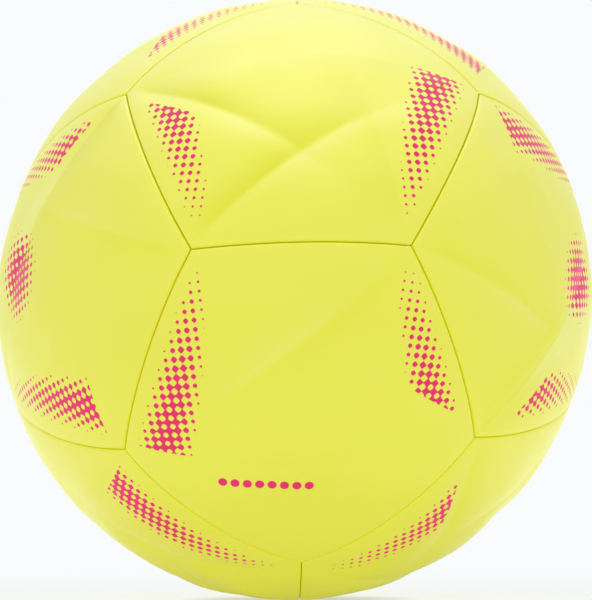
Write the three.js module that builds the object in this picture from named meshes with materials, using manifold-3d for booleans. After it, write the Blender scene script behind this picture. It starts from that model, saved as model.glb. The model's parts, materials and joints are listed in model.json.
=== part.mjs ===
// A stitched handball: twelve five-sided cover panels turned in and sewn together along thirty seams,
// a woven lining behind each panel, an inflated bladder inside, and a push-in valve in one panel.
// Millimetres, +Z up, origin at the ball's centre. The front of the ball looks along -Y.
import * as THREE from "three";
import { mergeVertices } from "three/addons/utils/BufferGeometryUtils.js";
import Module from "manifold-3d";

// Driving dimensions
const BALL_DIAMETER = 180;
const FRONT_SEAM_TILT = 10.3; // degrees that the seam facing the front stands above the equator
const COVER_THICKNESS = 2.8; // synthetic leather with its foam backing
const LINING_THICKNESS = 1.2; // woven layers behind the foam
const BLADDER_WALL = 1.0;
const LAYER_GAP = 0.3; // clearance between layers that lie on each other
const SEAM_GAP = 0.3; // clearance between the two turned-in hems of a seam
const SHOULDER_RADIUS = 1.2; // roll of a panel's edge into the seam
const HEM_THICKNESS = 1.6; // skived edge that is turned in
const HEM_OVERHANG = 3.6; // how far a hem reaches in past the lining
const THREAD_SIZE = 0.9;
const STITCH_CLEARANCE = 0.3; // between the thread and the punched hole, and the thread and the hem
const STITCH_MARGIN = 7; // from a seam's corner to its end stitch
const VALVE_NECK_DIAMETER = 7;
const VALVE_RECESS = 0.5; // depth of the valve's mouth below the cover's crown
const VALVE_FLANGE_DIAMETER = 22;
const VALVE_FLANGE_THICKNESS = 1.4;
const VALVE_BARREL_DIAMETER = 9;
const VALVE_BARREL_LENGTH = 11; // below the flange
const BLADDER_PAD = 1.6; // thickened disc of the bladder that the valve's flange seats on
const BLADDER_PAD_RIM = 2; // pad beyond the flange's edge
const PLUG_DIAMETER = 4;
const PLUG_LENGTH = 16;
const PLUG_HEAD_DIAMETER = 5;
const PLUG_HEAD_THICKNESS = 1.4;
const PLUG_CLEARANCE = 0.3;
const NEEDLE_DIAMETER = 1.6;
const NEEDLE_DEPTH = 10;
const NEEDLE_FUNNEL_DIAMETER = 3;

// Facets
const CROWN_STEPS = 5; // along a panel's side and from its middle to its edge
const INNER_STEPS = 3; // the same for the surfaces inside the ball
const SHOULDER_STEPS = 2;
const THREAD_STEPS = 5; // along a seam
const ROUND_STEPS = 16; // round the valve

// Radii of the layers, from the crown inward
const CROWN = BALL_DIAMETER / 2;
const COVER_INSIDE = CROWN - COVER_THICKNESS;
const LINING_OUTSIDE = COVER_INSIDE - LAYER_GAP;
const LINING_INSIDE = LINING_OUTSIDE - LINING_THICKNESS;
const HEM_EDGE = LINING_INSIDE - HEM_OVERHANG;
const BLADDER_CROWN = LINING_INSIDE - LAYER_GAP;
const STITCH_LINE = (LINING_INSIDE + HEM_EDGE) / 2;

// Distances from the plane of a seam, which passes through the ball's centre
const HEM_FACE = SEAM_GAP / 2;
const HEM_BACK = HEM_FACE + HEM_THICKNESS;
const SHOULDER_TOP = HEM_FACE + SHOULDER_RADIUS;
const LINING_RIM = HEM_BACK + LAYER_GAP;
const THREAD_RUN = HEM_BACK + STITCH_CLEARANCE + THREAD_SIZE / 2;

// A regular dodecahedron: every panel has five neighbours at the same angle
const SIDES = 5;
const SIDE_TURN = (2 * Math.PI) / SIDES;
const NEIGHBOUR_ANGLE = Math.atan(2);
const HALF_TILT = NEIGHBOUR_ANGLE / 2;
const GOLDEN = (1 + Math.sqrt(5)) / 2;

// The bladder is drawn in where the hems press on it. It rises in a straight slope from the seam to its next
// ring of points, so it starts deep enough to clear the backs of the hems.
const SLOPE_WIDTH = (BLADDER_CROWN * HALF_TILT) / INNER_STEPS;
const HEM_SHARE = HEM_BACK / SLOPE_WIDTH;
const BLADDER_SEAM = (HEM_EDGE - LAYER_GAP - HEM_SHARE * BLADDER_CROWN) / (1 - HEM_SHARE);

const UP = new THREE.Vector3(0, 0, 1);

// Panels by the place they have on the ball, each with the direction of its middle
const PANELS = [
  ["front_upper", 0, -GOLDEN, 1],
  ["front_lower", 0, -GOLDEN, -1],
  ["back_upper", 0, GOLDEN, 1],
  ["back_lower", 0, GOLDEN, -1],
  ["top_left", -1, 0, GOLDEN],
  ["top_right", 1, 0, GOLDEN],
  ["bottom_left", -1, 0, -GOLDEN],
  ["bottom_right", 1, 0, -GOLDEN],
  ["left_front", -GOLDEN, -1, 0],
  ["left_back", -GOLDEN, 1, 0],
  ["right_front", GOLDEN, -1, 0],
  ["right_back", GOLDEN, 1, 0],
].map(([place, x, y, z]) => ({ place, axis: new THREE.Vector3(x, y, z).normalize() }));
const VALVE_PLACE = "back_upper";

const touching = (a, b) => Math.abs(a.axis.angleTo(b.axis) - NEIGHBOUR_ANGLE) < 0.01;

const MATERIALS = {
  cover: new THREE.MeshStandardMaterial({ color: 0xe8ea42, roughness: 0.45, metalness: 0 }),
  lining: new THREE.MeshStandardMaterial({ color: 0xe9e4d6, roughness: 0.9, metalness: 0 }),
  thread: new THREE.MeshStandardMaterial({ color: 0x9aa028, roughness: 0.7, metalness: 0 }),
  bladder: new THREE.MeshStandardMaterial({ color: 0x2a2724, roughness: 0.6, metalness: 0 }),
  valve: new THREE.MeshStandardMaterial({ color: 0x1d1d1f, roughness: 0.5, metalness: 0 }),
};

const wasm = await Module();
wasm.setup();

// Solids and geometries

function solidFrom(geometry) {
  const bare = new THREE.BufferGeometry();
  bare.setAttribute("position", geometry.getAttribute("position"));
  bare.setIndex(geometry.getIndex());
  const merged = mergeVertices(bare, 1e-3);
  return new wasm.Manifold(
    new wasm.Mesh({
      numProp: 3,
      vertProperties: new Float32Array(merged.attributes.position.array),
      triVerts: new Uint32Array(merged.index.array),
    }),
  );
}

function geometryFrom(solid) {
  const { vertProperties, triVerts } = solid.getMesh();
  const geometry = new THREE.BufferGeometry();
  geometry.setAttribute("position", new THREE.BufferAttribute(vertProperties, 3));
  geometry.setIndex(new THREE.BufferAttribute(triVerts, 1));
  geometry.computeVertexNormals();
  return geometry;
}

// A surface through rings of points, each joined to the next. Rings may differ in their number of points,
// and a ring of one point closes an end. A closed loft joins its last ring to its first.
function loft(rings, closed = false) {
  const firsts = [];
  let count = 0;
  for (const ring of rings) {
    firsts.push(count);
    count += ring.length;
  }
  const index = [];
  const bridge = (a, b) => {
    const from = rings[a];
    const to = rings[b];
    const corner = (ring, step) => firsts[ring] + (step % rings[ring].length);
    let i = 0;
    let j = 0;
    const stepsFrom = from.length > 1 ? from.length : 0;
    const stepsTo = to.length > 1 ? to.length : 0;
    while (i < stepsFrom || j < stepsTo) {
      const nextFrom = i < stepsFrom ? (i + 1) / stepsFrom : Infinity;
      const nextTo = j < stepsTo ? (j + 1) / stepsTo : Infinity;
      if (nextTo <= nextFrom) {
        index.push(corner(b, j), corner(b, j + 1), corner(a, i));
        j += 1;
      } else {
        index.push(corner(a, i), corner(b, j), corner(a, i + 1));
        i += 1;
      }
    }
  };
  for (let ring = 0; ring + 1 < rings.length; ring += 1) bridge(ring, ring + 1);
  if (closed) bridge(rings.length - 1, 0);
  const geometry = new THREE.BufferGeometry().setFromPoints(rings.flat());
  geometry.setIndex(index);
  return geometry;
}

// A panel's outline in its own frame, with +Z through the panel's middle

// The directions at the middle of one side: along the seam, up through the seam, and into the panel.
function sideFrame(side) {
  const turn = side * SIDE_TURN;
  const inward = new THREE.Vector3(-Math.cos(HALF_TILT), 0, Math.sin(HALF_TILT));
  const out = new THREE.Vector3(Math.sin(HALF_TILT), 0, Math.cos(HALF_TILT));
  const along = new THREE.Vector3(0, 1, 0);
  return {
    inward: inward.applyAxisAngle(UP, turn),
    out: out.applyAxisAngle(UP, turn),
    along: along.applyAxisAngle(UP, turn),
  };
}

// Half of the angle that a side spans about the ball's centre, at a radius and a distance from the seam.
function halfSpan(radius, inset) {
  const tiltToCorner = Math.cos(HALF_TILT) * Math.cos(SIDE_TURN / 2);
  const rise = Math.sin(HALF_TILT);
  const square = Math.acos(inset / (radius * Math.hypot(tiltToCorner, rise)));
  const polar = square - Math.atan2(tiltToCorner, rise);
  const half = radius * Math.sin(polar) * Math.sin(SIDE_TURN / 2);
  return Math.asin(half / Math.sqrt(radius * radius - inset * inset));
}

// A point on a side, at a share of the way from its first corner to its second.
function onSide(side, share, radius, inset) {
  const { inward, out, along } = sideFrame(side);
  const angle = halfSpan(radius, inset) * (2 * share - 1);
  const reach = Math.sqrt(radius * radius - inset * inset);
  return new THREE.Vector3()
    .addScaledVector(inward, inset)
    .addScaledVector(out, reach * Math.cos(angle))
    .addScaledVector(along, reach * Math.sin(angle));
}

function outline(radius, inset, steps) {
  const points = [];
  for (let side = 0; side < SIDES; side += 1)
    for (let step = 0; step < steps; step += 1) points.push(onSide(side, step / steps, radius, inset));
  return points;
}

// Rings from a panel's middle out to its outline, on a sphere, with the outline itself left out.
function crownRings(radius, edgeRadius, inset, steps) {
  const rings = [[new THREE.Vector3(0, 0, radius)]];
  for (let ring = 1; ring < steps; ring += 1) {
    const edge = outline(edgeRadius, inset, ring);
    rings.push(
      edge.map((point) => {
        const polar = (UP.angleTo(point) * ring) / steps;
        const turn = Math.atan2(point.y, point.x);
        const made = new THREE.Vector3(radius * Math.sin(polar), 0, radius * Math.cos(polar));
        return made.applyAxisAngle(UP, turn);
      }),
    );
  }
  return rings;
}

// Cover panels

// Crown, rolled shoulder and turned-in hem, down to the hem's free edge and back up behind it.
function panelGeometry() {
  const rings = crownRings(CROWN, CROWN, SHOULDER_TOP, CROWN_STEPS);
  for (let step = 0; step <= SHOULDER_STEPS; step += 1) {
    const turn = (step / SHOULDER_STEPS) * (Math.PI / 2);
    const radius = CROWN - SHOULDER_RADIUS * (1 - Math.cos(turn));
    const inset = SHOULDER_TOP - SHOULDER_RADIUS * Math.sin(turn);
    rings.push(outline(radius, inset, CROWN_STEPS));
  }
  rings.push(outline(HEM_EDGE, HEM_FACE, INNER_STEPS));
  rings.push(outline(HEM_EDGE, HEM_BACK, INNER_STEPS));
  rings.push(outline(COVER_INSIDE, HEM_BACK, INNER_STEPS));
  rings.push(...crownRings(COVER_INSIDE, COVER_INSIDE, HEM_BACK, INNER_STEPS).reverse());
  return loft(rings);
}

// The angle along a seam from its middle to its end stitches.
const STITCH_SPAN = halfSpan(STITCH_LINE, 0) - STITCH_MARGIN / STITCH_LINE;

// Square holes punched through the hems, where the thread crosses the seam.
function stitchHoles() {
  const size = THREAD_SIZE + 2 * STITCH_CLEARANCE;
  const holes = [];
  for (let side = 0; side < SIDES; side += 1)
    for (const end of [-1, 1]) {
      const { inward, out, along } = sideFrame(side);
      const upright = out.clone().applyAxisAngle(inward, -end * STITCH_SPAN);
      const level = along.clone().applyAxisAngle(inward, -end * STITCH_SPAN);
      const place = new THREE.Matrix4().makeBasis(level, inward, upright);
      place.setPosition(upright.clone().multiplyScalar(STITCH_LINE));
      holes.push(new THREE.BoxGeometry(size, 4 * HEM_BACK, size).applyMatrix4(place));
    }
  return holes;
}

function cylinder(radius, bottom, top) {
  return new THREE.CylinderGeometry(radius, radius, top - bottom, ROUND_STEPS)
    .rotateX(Math.PI / 2)
    .translate(0, 0, (bottom + top) / 2);
}

const VALVE_HOLE = VALVE_NECK_DIAMETER / 2 + LAYER_GAP;
const valveBore = solidFrom(cylinder(VALVE_HOLE, BLADDER_SEAM / 2, CROWN + COVER_THICKNESS));

const panelSolid = stitchHoles().reduce(
  (solid, hole) => solid.subtract(solidFrom(hole)),
  solidFrom(panelGeometry()),
);
const plainPanel = geometryFrom(panelSolid);
const valvePanel = geometryFrom(panelSolid.subtract(valveBore));

// Linings

function liningGeometry() {
  const outer = crownRings(LINING_OUTSIDE, LINING_OUTSIDE, LINING_RIM, INNER_STEPS);
  const inner = crownRings(LINING_INSIDE, LINING_INSIDE, LINING_RIM, INNER_STEPS);
  return loft([
    ...outer,
    outline(LINING_OUTSIDE, LINING_RIM, INNER_STEPS),
    outline(LINING_INSIDE, LINING_RIM, INNER_STEPS),
    ...inner.reverse(),
  ]);
}

const liningSolid = solidFrom(liningGeometry());
const plainLining = geometryFrom(liningSolid);
const valveLining = geometryFrom(liningSolid.subtract(valveBore));

// Seam threads

// One seam's thread in the seam's frame: +X along the seam, +Y across it, +Z out through its middle.
// It runs along the back of one hem, crosses through the end holes and returns behind the other hem.
function threadGeometry() {
  const path = [];
  for (const across of [1, -1])
    for (let step = 0; step <= THREAD_STEPS; step += 1) {
      const angle = across * STITCH_SPAN * (1 - (2 * step) / THREAD_STEPS);
      path.push({ angle, across: across * THREAD_RUN });
    }
  const half = THREAD_SIZE / 2;
  const at = ({ angle, across }, outward, sideways, onward) => {
    const radius = STITCH_LINE + outward * half;
    const turn = angle + (onward * half) / STITCH_LINE;
    return new THREE.Vector3(radius * Math.sin(turn), across + sideways * half, radius * Math.cos(turn));
  };
  const rings = path.map((point) => {
    const side = Math.sign(point.across);
    const ends = Math.abs(point.angle) > STITCH_SPAN * (1 - 1 / THREAD_STEPS);
    const onward = ends ? Math.sign(point.angle) : 0;
    return [
      at(point, 1, side, onward),
      at(point, 1, -side, -onward),
      at(point, -1, -side, -onward),
      at(point, -1, side, onward),
    ];
  });
  return loft(rings, true);
}

const thread = threadGeometry();

// Bladder

// The inflated shape, pressed out against each lining and drawn in along the seams.
function bladderShape(crown, seam, placements) {
  const rings = crownRings(crown, seam, 0, INNER_STEPS);
  rings.push(outline(seam, 0, INNER_STEPS));
  const patch = loft(rings);
  const corners = [];
  for (const turn of placements) {
    const turned = patch.clone().applyQuaternion(turn).toNonIndexed();
    corners.push(...turned.getAttribute("position").array);
  }
  const whole = new THREE.BufferGeometry();
  whole.setAttribute("position", new THREE.Float32BufferAttribute(corners, 3));
  return solidFrom(mergeVertices(whole, 1e-3));
}

const PAD_FACE = BLADDER_CROWN - BLADDER_WALL - BLADDER_PAD;

function bladderGeometry(placements, valveTurn) {
  const turned = (geometry) => solidFrom(geometry.applyQuaternion(valveTurn));
  const padRadius = VALVE_FLANGE_DIAMETER / 2 + BLADDER_PAD_RIM;
  const pad = turned(cylinder(padRadius, PAD_FACE, CROWN));
  const bore = turned(cylinder(VALVE_HOLE, BLADDER_SEAM / 2, CROWN));
  const outside = bladderShape(BLADDER_CROWN, BLADDER_SEAM, placements);
  const hollow = bladderShape(BLADDER_CROWN - BLADDER_WALL, BLADDER_SEAM - BLADDER_WALL, placements);
  return geometryFrom(outside.subtract(hollow.subtract(pad)).subtract(bore));
}

// Valve, in its panel's frame

const MOUTH = CROWN - VALVE_RECESS;
const FLANGE_TOP = PAD_FACE - LAYER_GAP;
const FLANGE_BOTTOM = FLANGE_TOP - VALVE_FLANGE_THICKNESS;
const HEAD_SEAT = MOUTH - PLUG_HEAD_THICKNESS - PLUG_CLEARANCE;

const revolve = (profile) =>
  new THREE.LatheGeometry(
    profile.map(([radius, height]) => new THREE.Vector2(radius, height)),
    ROUND_STEPS,
  ).rotateX(Math.PI / 2);

// Rubber boot: neck through the cover, flange under the bladder's pad, and barrel in the air space.
function bootGeometry() {
  const neck = VALVE_NECK_DIAMETER / 2;
  const flange = VALVE_FLANGE_DIAMETER / 2;
  const barrel = VALVE_BARREL_DIAMETER / 2;
  const foot = FLANGE_BOTTOM - VALVE_BARREL_LENGTH;
  const bore = PLUG_DIAMETER / 2 + PLUG_CLEARANCE;
  const counterbore = PLUG_HEAD_DIAMETER / 2 + PLUG_CLEARANCE;
  return revolve([
    [bore, foot],
    [barrel, foot],
    [barrel, FLANGE_BOTTOM],
    [flange, FLANGE_BOTTOM],
    [flange, FLANGE_TOP],
    [neck, FLANGE_TOP],
    [neck, MOUTH],
    [counterbore, MOUTH],
    [counterbore, HEAD_SEAT],
    [bore, HEAD_SEAT],
    [bore, foot],
  ]);
}

// Push-in plug: a headed rubber stem with a funnel that leads the pump's needle into a blind channel.
function plugGeometry() {
  const stem = PLUG_DIAMETER / 2;
  const head = PLUG_HEAD_DIAMETER / 2;
  const headBottom = HEAD_SEAT + PLUG_CLEARANCE;
  const needle = NEEDLE_DIAMETER / 2;
  const funnel = NEEDLE_FUNNEL_DIAMETER / 2;
  return revolve([
    [0, MOUTH - PLUG_LENGTH],
    [stem, MOUTH - PLUG_LENGTH],
    [stem, headBottom],
    [head, headBottom],
    [head, MOUTH],
    [funnel, MOUTH],
    [needle, MOUTH - (funnel - needle)],
    [needle, MOUTH - NEEDLE_DEPTH],
    [0, MOUTH - NEEDLE_DEPTH],
  ]);
}

// Assembly

function mesh(name, geometry, material) {
  const made = new THREE.Mesh(geometry, material);
  made.name = name;
  return made;
}

// The turn that takes +Z to one direction, and +X to the side where another direction lies.
function turnTo(axis, towards) {
  const x = towards.clone().addScaledVector(axis, -towards.dot(axis)).normalize();
  const y = axis.clone().cross(x);
  return new THREE.Quaternion().setFromRotationMatrix(new THREE.Matrix4().makeBasis(x, y, axis));
}

const ball = new THREE.Group();
ball.rotation.x = THREE.MathUtils.degToRad(-FRONT_SEAM_TILT);

const placements = new Map();
for (const panel of PANELS) {
  const neighbour = PANELS.find((other) => touching(panel, other));
  const group = new THREE.Group();
  group.quaternion.copy(turnTo(panel.axis, neighbour.axis));
  placements.set(panel.place, group.quaternion);
  const withValve = panel.place === VALVE_PLACE;
  group.add(mesh(`panel_${panel.place}`, withValve ? valvePanel : plainPanel, MATERIALS.cover));
  group.add(mesh(`lining_${panel.place}`, withValve ? valveLining : plainLining, MATERIALS.lining));
  if (withValve) {
    group.add(mesh("valve_boot", bootGeometry(), MATERIALS.valve));
    group.add(mesh("valve_plug", plugGeometry(), MATERIALS.valve));
  }
  ball.add(group);
}

PANELS.forEach((panel, number) => {
  for (const other of PANELS.slice(number + 1).filter((later) => touching(panel, later))) {
    const middle = panel.axis.clone().add(other.axis).normalize();
    const along = panel.axis.clone().cross(other.axis);
    const group = new THREE.Group();
    group.quaternion.copy(turnTo(middle, along));
    group.add(mesh(`thread_${panel.place}_${other.place}`, thread, MATERIALS.thread));
    ball.add(group);
  }
});

const valveTurn = placements.get(VALVE_PLACE);
ball.add(mesh("bladder", bladderGeometry([...placements.values()], valveTurn), MATERIALS.bladder));

const handball = new THREE.Group();
handball.add(ball);

export default handball;
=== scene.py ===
import itertools
import json
import math

import bmesh
import bpy
import numpy as np
from mathutils import Matrix, Vector


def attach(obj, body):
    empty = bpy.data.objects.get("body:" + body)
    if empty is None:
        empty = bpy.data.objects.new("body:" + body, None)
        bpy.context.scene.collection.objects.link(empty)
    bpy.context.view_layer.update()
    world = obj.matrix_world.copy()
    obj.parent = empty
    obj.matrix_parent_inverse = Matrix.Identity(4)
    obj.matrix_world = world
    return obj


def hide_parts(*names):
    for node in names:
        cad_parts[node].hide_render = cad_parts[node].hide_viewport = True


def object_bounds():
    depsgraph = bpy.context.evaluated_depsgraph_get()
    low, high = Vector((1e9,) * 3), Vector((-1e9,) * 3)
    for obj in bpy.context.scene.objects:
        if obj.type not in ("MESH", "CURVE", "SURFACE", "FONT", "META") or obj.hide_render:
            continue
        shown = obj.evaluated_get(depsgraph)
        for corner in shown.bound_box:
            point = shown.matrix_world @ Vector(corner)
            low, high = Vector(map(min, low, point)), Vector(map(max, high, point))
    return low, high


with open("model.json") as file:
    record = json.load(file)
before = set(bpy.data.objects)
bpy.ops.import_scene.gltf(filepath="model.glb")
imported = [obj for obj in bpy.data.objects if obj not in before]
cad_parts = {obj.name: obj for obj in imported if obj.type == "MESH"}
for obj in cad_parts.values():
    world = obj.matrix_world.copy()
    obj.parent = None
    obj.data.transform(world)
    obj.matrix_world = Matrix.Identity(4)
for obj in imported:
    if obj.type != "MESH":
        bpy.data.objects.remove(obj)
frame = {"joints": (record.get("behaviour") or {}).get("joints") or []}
cad_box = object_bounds()

# Lengths are in millimetres until a mesh, lamp or camera is made.
MM = 0.001
GOLDEN = (1 + math.sqrt(5)) / 2
CORNERS = 5
HALF_TILT = math.atan(1 / GOLDEN)     # half the angle between two neighbouring panels
BALL = max(hi - lo for lo, hi in zip(*cad_box)) / 2 / MM

# Radii of the layers, from the outside in.
LAYER_GAP = 0.3
COVER_INSIDE = BALL - 2.8
LINING_OUTSIDE = COVER_INSIDE - LAYER_GAP
LINING_INSIDE = LINING_OUTSIDE - 1.2
STITCH_LINE = LINING_INSIDE - 1.8
HEM_EDGE = LINING_INSIDE - 3.6
BLADDER_CROWN = LINING_INSIDE - LAYER_GAP
BLADDER_SEAM = HEM_EDGE - 0.4
BLADDER_WALL = 1.0

# Distances from the seam planes.
HEM_FACE = 0.05
SHOULDER = 0.78                       # radius of the roll into a seam
HEM_BACK = 1.75
LINING_RIM = 2.05
THREAD_RUN = 2.5
CROWN_RIM = 3.0                       # edge of the crown's grid
EDGE_RINGS = (2.0, 1.3, 0.85)         # rings between that grid and the roll
HEM_RINGS = (2.5, 5.0)                # depths of the rings on a hem's face
BACK_RIM = HEM_BACK + 0.6             # edge of the cover's back
BLADDER_RISE = (2.6, 9.5)             # where the bladder comes out again beside the hems

# The sewing thread.
STITCH_PITCH = 4.4
STITCH_MARGIN = 7.0                   # from a seam's corner to its end stitch
THREAD_RADIUS = 0.45
THREAD_PULL = 0.15                    # how far each stitch draws it towards the hem
THREAD_TWIST = 2.2                    # length of one turn of its strands
THREAD_RIDGE = 0.16                   # how far its strands stand out, as a share of its radius
THREAD_STEP = 0.55
THREAD_SIDES = 10
THREAD_SMOOTHING = 2

# The valve: radii, and heights from the ball's middle.
VALVE_HOLE = 3.8
VALVE_LIP = 0.5                       # rounding of the cover's edge round the valve
VALVE_DIP = 0.30
VALVE_DIP_WIDTH = 3.0
BOOT_BORE = 2.3
BOOT_SEAT = 2.8
BOOT_NECK = 3.5
BOOT_BARREL = 4.5
BOOT_FLANGE = 11.0
PLUG_SHANK = 2.0
PLUG_HEAD = 2.5
PLUG_FUNNEL = 1.5
PLUG_CHANNEL = 0.8
MOUTH = BALL - 0.5
FUNNEL_FOOT = MOUTH - 0.7
HEAD_SEAT = MOUTH - 1.7
PAD_FACE = BLADDER_CROWN - BLADDER_WALL - 1.6
PAD_RIM = 13.0
PAD_SLOPE = 1.5
FLANGE_TOP = PAD_FACE - LAYER_GAP
FLANGE_BOTTOM = FLANGE_TOP - 1.4
BARREL_FOOT = FLANGE_BOTTOM - 11.0
PLUG_FOOT = MOUTH - 16.0
NEEDLE_FOOT = MOUTH - 10.0
VALVE_ROUNDING = 0.35
ROUNDING_SHARE = 0.45                 # largest share of an edge that a rounded corner takes up
ROUNDING_STEPS = 5                    # points on a rounded corner
ROUND_STEPS = 56                      # points round a turned form

# Relief of the cover.
SEAM_DIP = 0.40                       # how far a panel's edge pulls in
SEAM_DIP_WIDTH = 3.5
CORNER_DIP = 0.25
CORNER_DIP_WIDTH = 6.0
STAR_DEPTH = 0.8                      # deepest of the soft folds along a panel's five diagonals
STAR_INNER = 5.0                      # width of a fold's bank on the side of the panel's middle
STAR_OUTER = 3.4
STAR_CREASE = 0.7                     # radius at the bottom of a fold
STAR_BOW = 4.0                        # how far a fold bends towards the panel's middle
STAR_END = 0.6                        # how much a fold flattens out on its way
STAR_FADE = 6.0                       # distance from a seam over which folds and waves fade
# Places along a fold, from -1 at its first corner to 1 at its last.
STAR_FLATTENS = (-0.1, 0.5)           # where it flattens out
NEAR_BANK_ENDS = (-0.4, 0.4)          # where its bank on the side of the panel's middle fades out
FAR_BANK_MIDDLE = -0.1                # where the painted highlight on its other bank is strongest
FAR_BANK_WIDTH = 0.35
WAVE_HEIGHT = 0.10                    # slow unevenness of the foam
WAVE_LENGTHS = (34.0, 27.0, 21.0)
WAVE_TURN = 2.4                       # radians from one wave to the next, and from panel to panel
PANEL_TURN = 1.7
PUCKER = 0.04                         # pull of each stitch
PUCKER_WIDTH = 1.6

CROWN_CELLS = 40                      # grid cells from a panel's middle to its edge
BACK_CELLS = 10
LINING_CELLS = 12
BLADDER_CELLS = 16
HOLE_RINGS = 44                       # rings of a pierced face
SHOULDER_STEPS = 7
UV_SPAN = 160.0                       # width of the flattened panel's map
WELD = 0.001                          # distance under which points of the bladder's patches are joined
TINY = 1e-12                          # keeps the middle of a panel from being divided by nothing

PLACES = {
    "front_upper": (0, -GOLDEN, 1),
    "front_lower": (0, -GOLDEN, -1),
    "back_upper": (0, GOLDEN, 1),
    "back_lower": (0, GOLDEN, -1),
    "top_left": (-1, 0, GOLDEN),
    "top_right": (1, 0, GOLDEN),
    "bottom_left": (-1, 0, -GOLDEN),
    "bottom_right": (1, 0, -GOLDEN),
    "left_front": (-GOLDEN, -1, 0),
    "left_back": (-GOLDEN, 1, 0),
    "right_front": (GOLDEN, -1, 0),
    "right_back": (GOLDEN, 1, 0),
}
NEIGHBOURS = 0.4                      # only neighbours have outward axes with a product above this
CORNER_SUM = 2.0                      # only three panels round a corner have axes with a longer sum
VALVE_PLACE = "back_upper"
MOTIF_PLACES = ("left_front", "left_back", "right_front", "right_back")
ROW_PLACE = "front_lower"
# Strength of a panel's folds, in the order of the corners that they start from.
FOLDS = (0.3, 0.3, 0.3, 0.3, 0.3)
OWN_FOLDS = {
    "front_upper": (0.5, 0.7, 0.3, 1.0, 1.0),
    "front_lower": (0.3, 0.3, 0.3, 0.3, 0.75),
    "left_front": (0.3, 0.3, 0.8, 1.9, 0.3),
    "right_front": (0.3, 0.3, 0.8, 1.9, 0.3),
    "bottom_left": (0.8, 0.8, 0.8, 0.8, 0.8),
    "bottom_right": (0.8, 0.8, 0.8, 0.8, 0.8),
}
# How far some seam corners and seam middles of this hand-sewn ball lie from their even places, across and up
# as the camera sees them.
SEAM_SHIFTS = {
    ("front_upper", "front_lower"): (0.0, 0.75),
    ("front_upper", "front_lower", "left_front"): (-0.58, -0.14),
    ("front_upper", "front_lower", "right_front"): (-0.09, 0.72),
    ("front_upper", "top_left", "left_front"): (0.24, 1.01),
    ("front_upper", "top_right", "right_front"): (1.75, 0.78),
    ("front_lower", "bottom_left", "left_front"): (-0.07, -1.89),
    ("front_lower", "bottom_right", "right_front"): (-0.23, 0.25),
    ("front_lower", "bottom_left", "bottom_right"): (-0.05, -1.11),
}
SHIFT_REACH = 42.0                    # how far round a seam corner its shift is felt
LEAN = -0.89                          # how far the ball is out of round: to one side, and oval two ways
OVAL_UPRIGHT = 0.60
OVAL_SLANT = 0.75
# How a panel's print lies on it: moved across and up, stretched across, and turned in degrees.
PRINT_FITS = {
    "front_lower": (-0.5, 0.0, 1.013, -1.6),
    "front_upper": (-0.5, 2.0, 1.004, -0.65),
    "left_front": (-0.8, 1.5, 1.003, -2.75),
    "right_front": (1.0, -1.0, 1.016, -1.2),
    "bottom_left": (-0.2, 1.0, 1.0, 0.0),
    "bottom_right": (1.3, 2.0, 1.0, 0.0),
    "top_left": (0.6, 0.2, 1.0, 0.0),
    "top_right": (-3.7, -2.7, 1.0, 0.0),
}

VALVE_AXIS = Vector(frame["joints"][0]["axis"]).normalized()
TILT = math.atan2(VALVE_AXIS.z, VALVE_AXIS.y) - HALF_TILT


# Forms: the panel's own axes are across, away from its base edge, and outwards.

def unit(vectors):
    """Vectors, one a row, made one long."""
    vectors = np.asarray(vectors, float)
    return vectors / np.linalg.norm(vectors, axis=-1, keepdims=True)


def panel_axes(axis):
    """A panel's own axes as the columns of a matrix in the ball's frame."""
    axis = np.array(axis, float)
    out = unit(axis)
    base = np.where(np.isclose(np.abs(axis), GOLDEN), np.sign(axis), 0.0)
    up = unit(out * (base @ out) - base)
    turn = np.array(Matrix.Rotation(TILT, 3, "X"))
    return turn @ np.column_stack([np.cross(up, out), up, out])


AXES = {place: panel_axes(axis) for place, axis in PLACES.items()}


def side_axes(side):
    """One side of a panel: its seam plane's inward normal, the way out in that plane, and along the seam."""
    angle = math.radians(360 / CORNERS * side - 90)
    x, y = math.cos(angle), math.sin(angle)
    c, s = math.cos(HALF_TILT), math.sin(HALF_TILT)
    return np.array([-c * x, -c * y, s]), np.array([s * x, s * y, c]), np.array([-y, x, 0])


SIDES = [side_axes(side) for side in range(CORNERS)]
INWARD = np.array([inward for inward, _, _ in SIDES])
ALONG = np.array([along for _, _, along in SIDES])


def half_span(radius, inset):
    """Angle from the middle of a side to its corner, for a line this far from the seam plane."""
    inward, out, along = SIDES[0]
    corner = math.radians(180 / CORNERS - 90)
    across = np.array([-math.sin(corner), math.cos(corner), 0])
    reach = math.sqrt(radius ** 2 - inset ** 2)
    a, b = reach * (along @ across), reach * (out @ across)
    return math.asin(-inset * (inward @ across) / math.hypot(a, b)) - math.atan2(b, a)


def on_side(side, shares, radius, inset):
    """Points at these shares of the way from a side's middle to its corner, on a sphere of this radius."""
    inward, out, along = SIDES[side % CORNERS]
    angle = half_span(radius, inset) * np.asarray(shares)[:, None]
    reach = math.sqrt(radius ** 2 - inset ** 2)
    return inset * inward + reach * (np.cos(angle) * out + np.sin(angle) * along)


def ring(radius, inset, cells):
    """A panel's outline at this radius and distance from the seam planes, anticlockwise from outside."""
    shares = np.arange(cells) / cells
    halves = []
    for side in range(CORNERS):
        halves.append(on_side(side, shares, radius, inset))
        halves.append(on_side(side + 1, shares - 1, radius, inset))
    return np.concatenate(halves)


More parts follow.
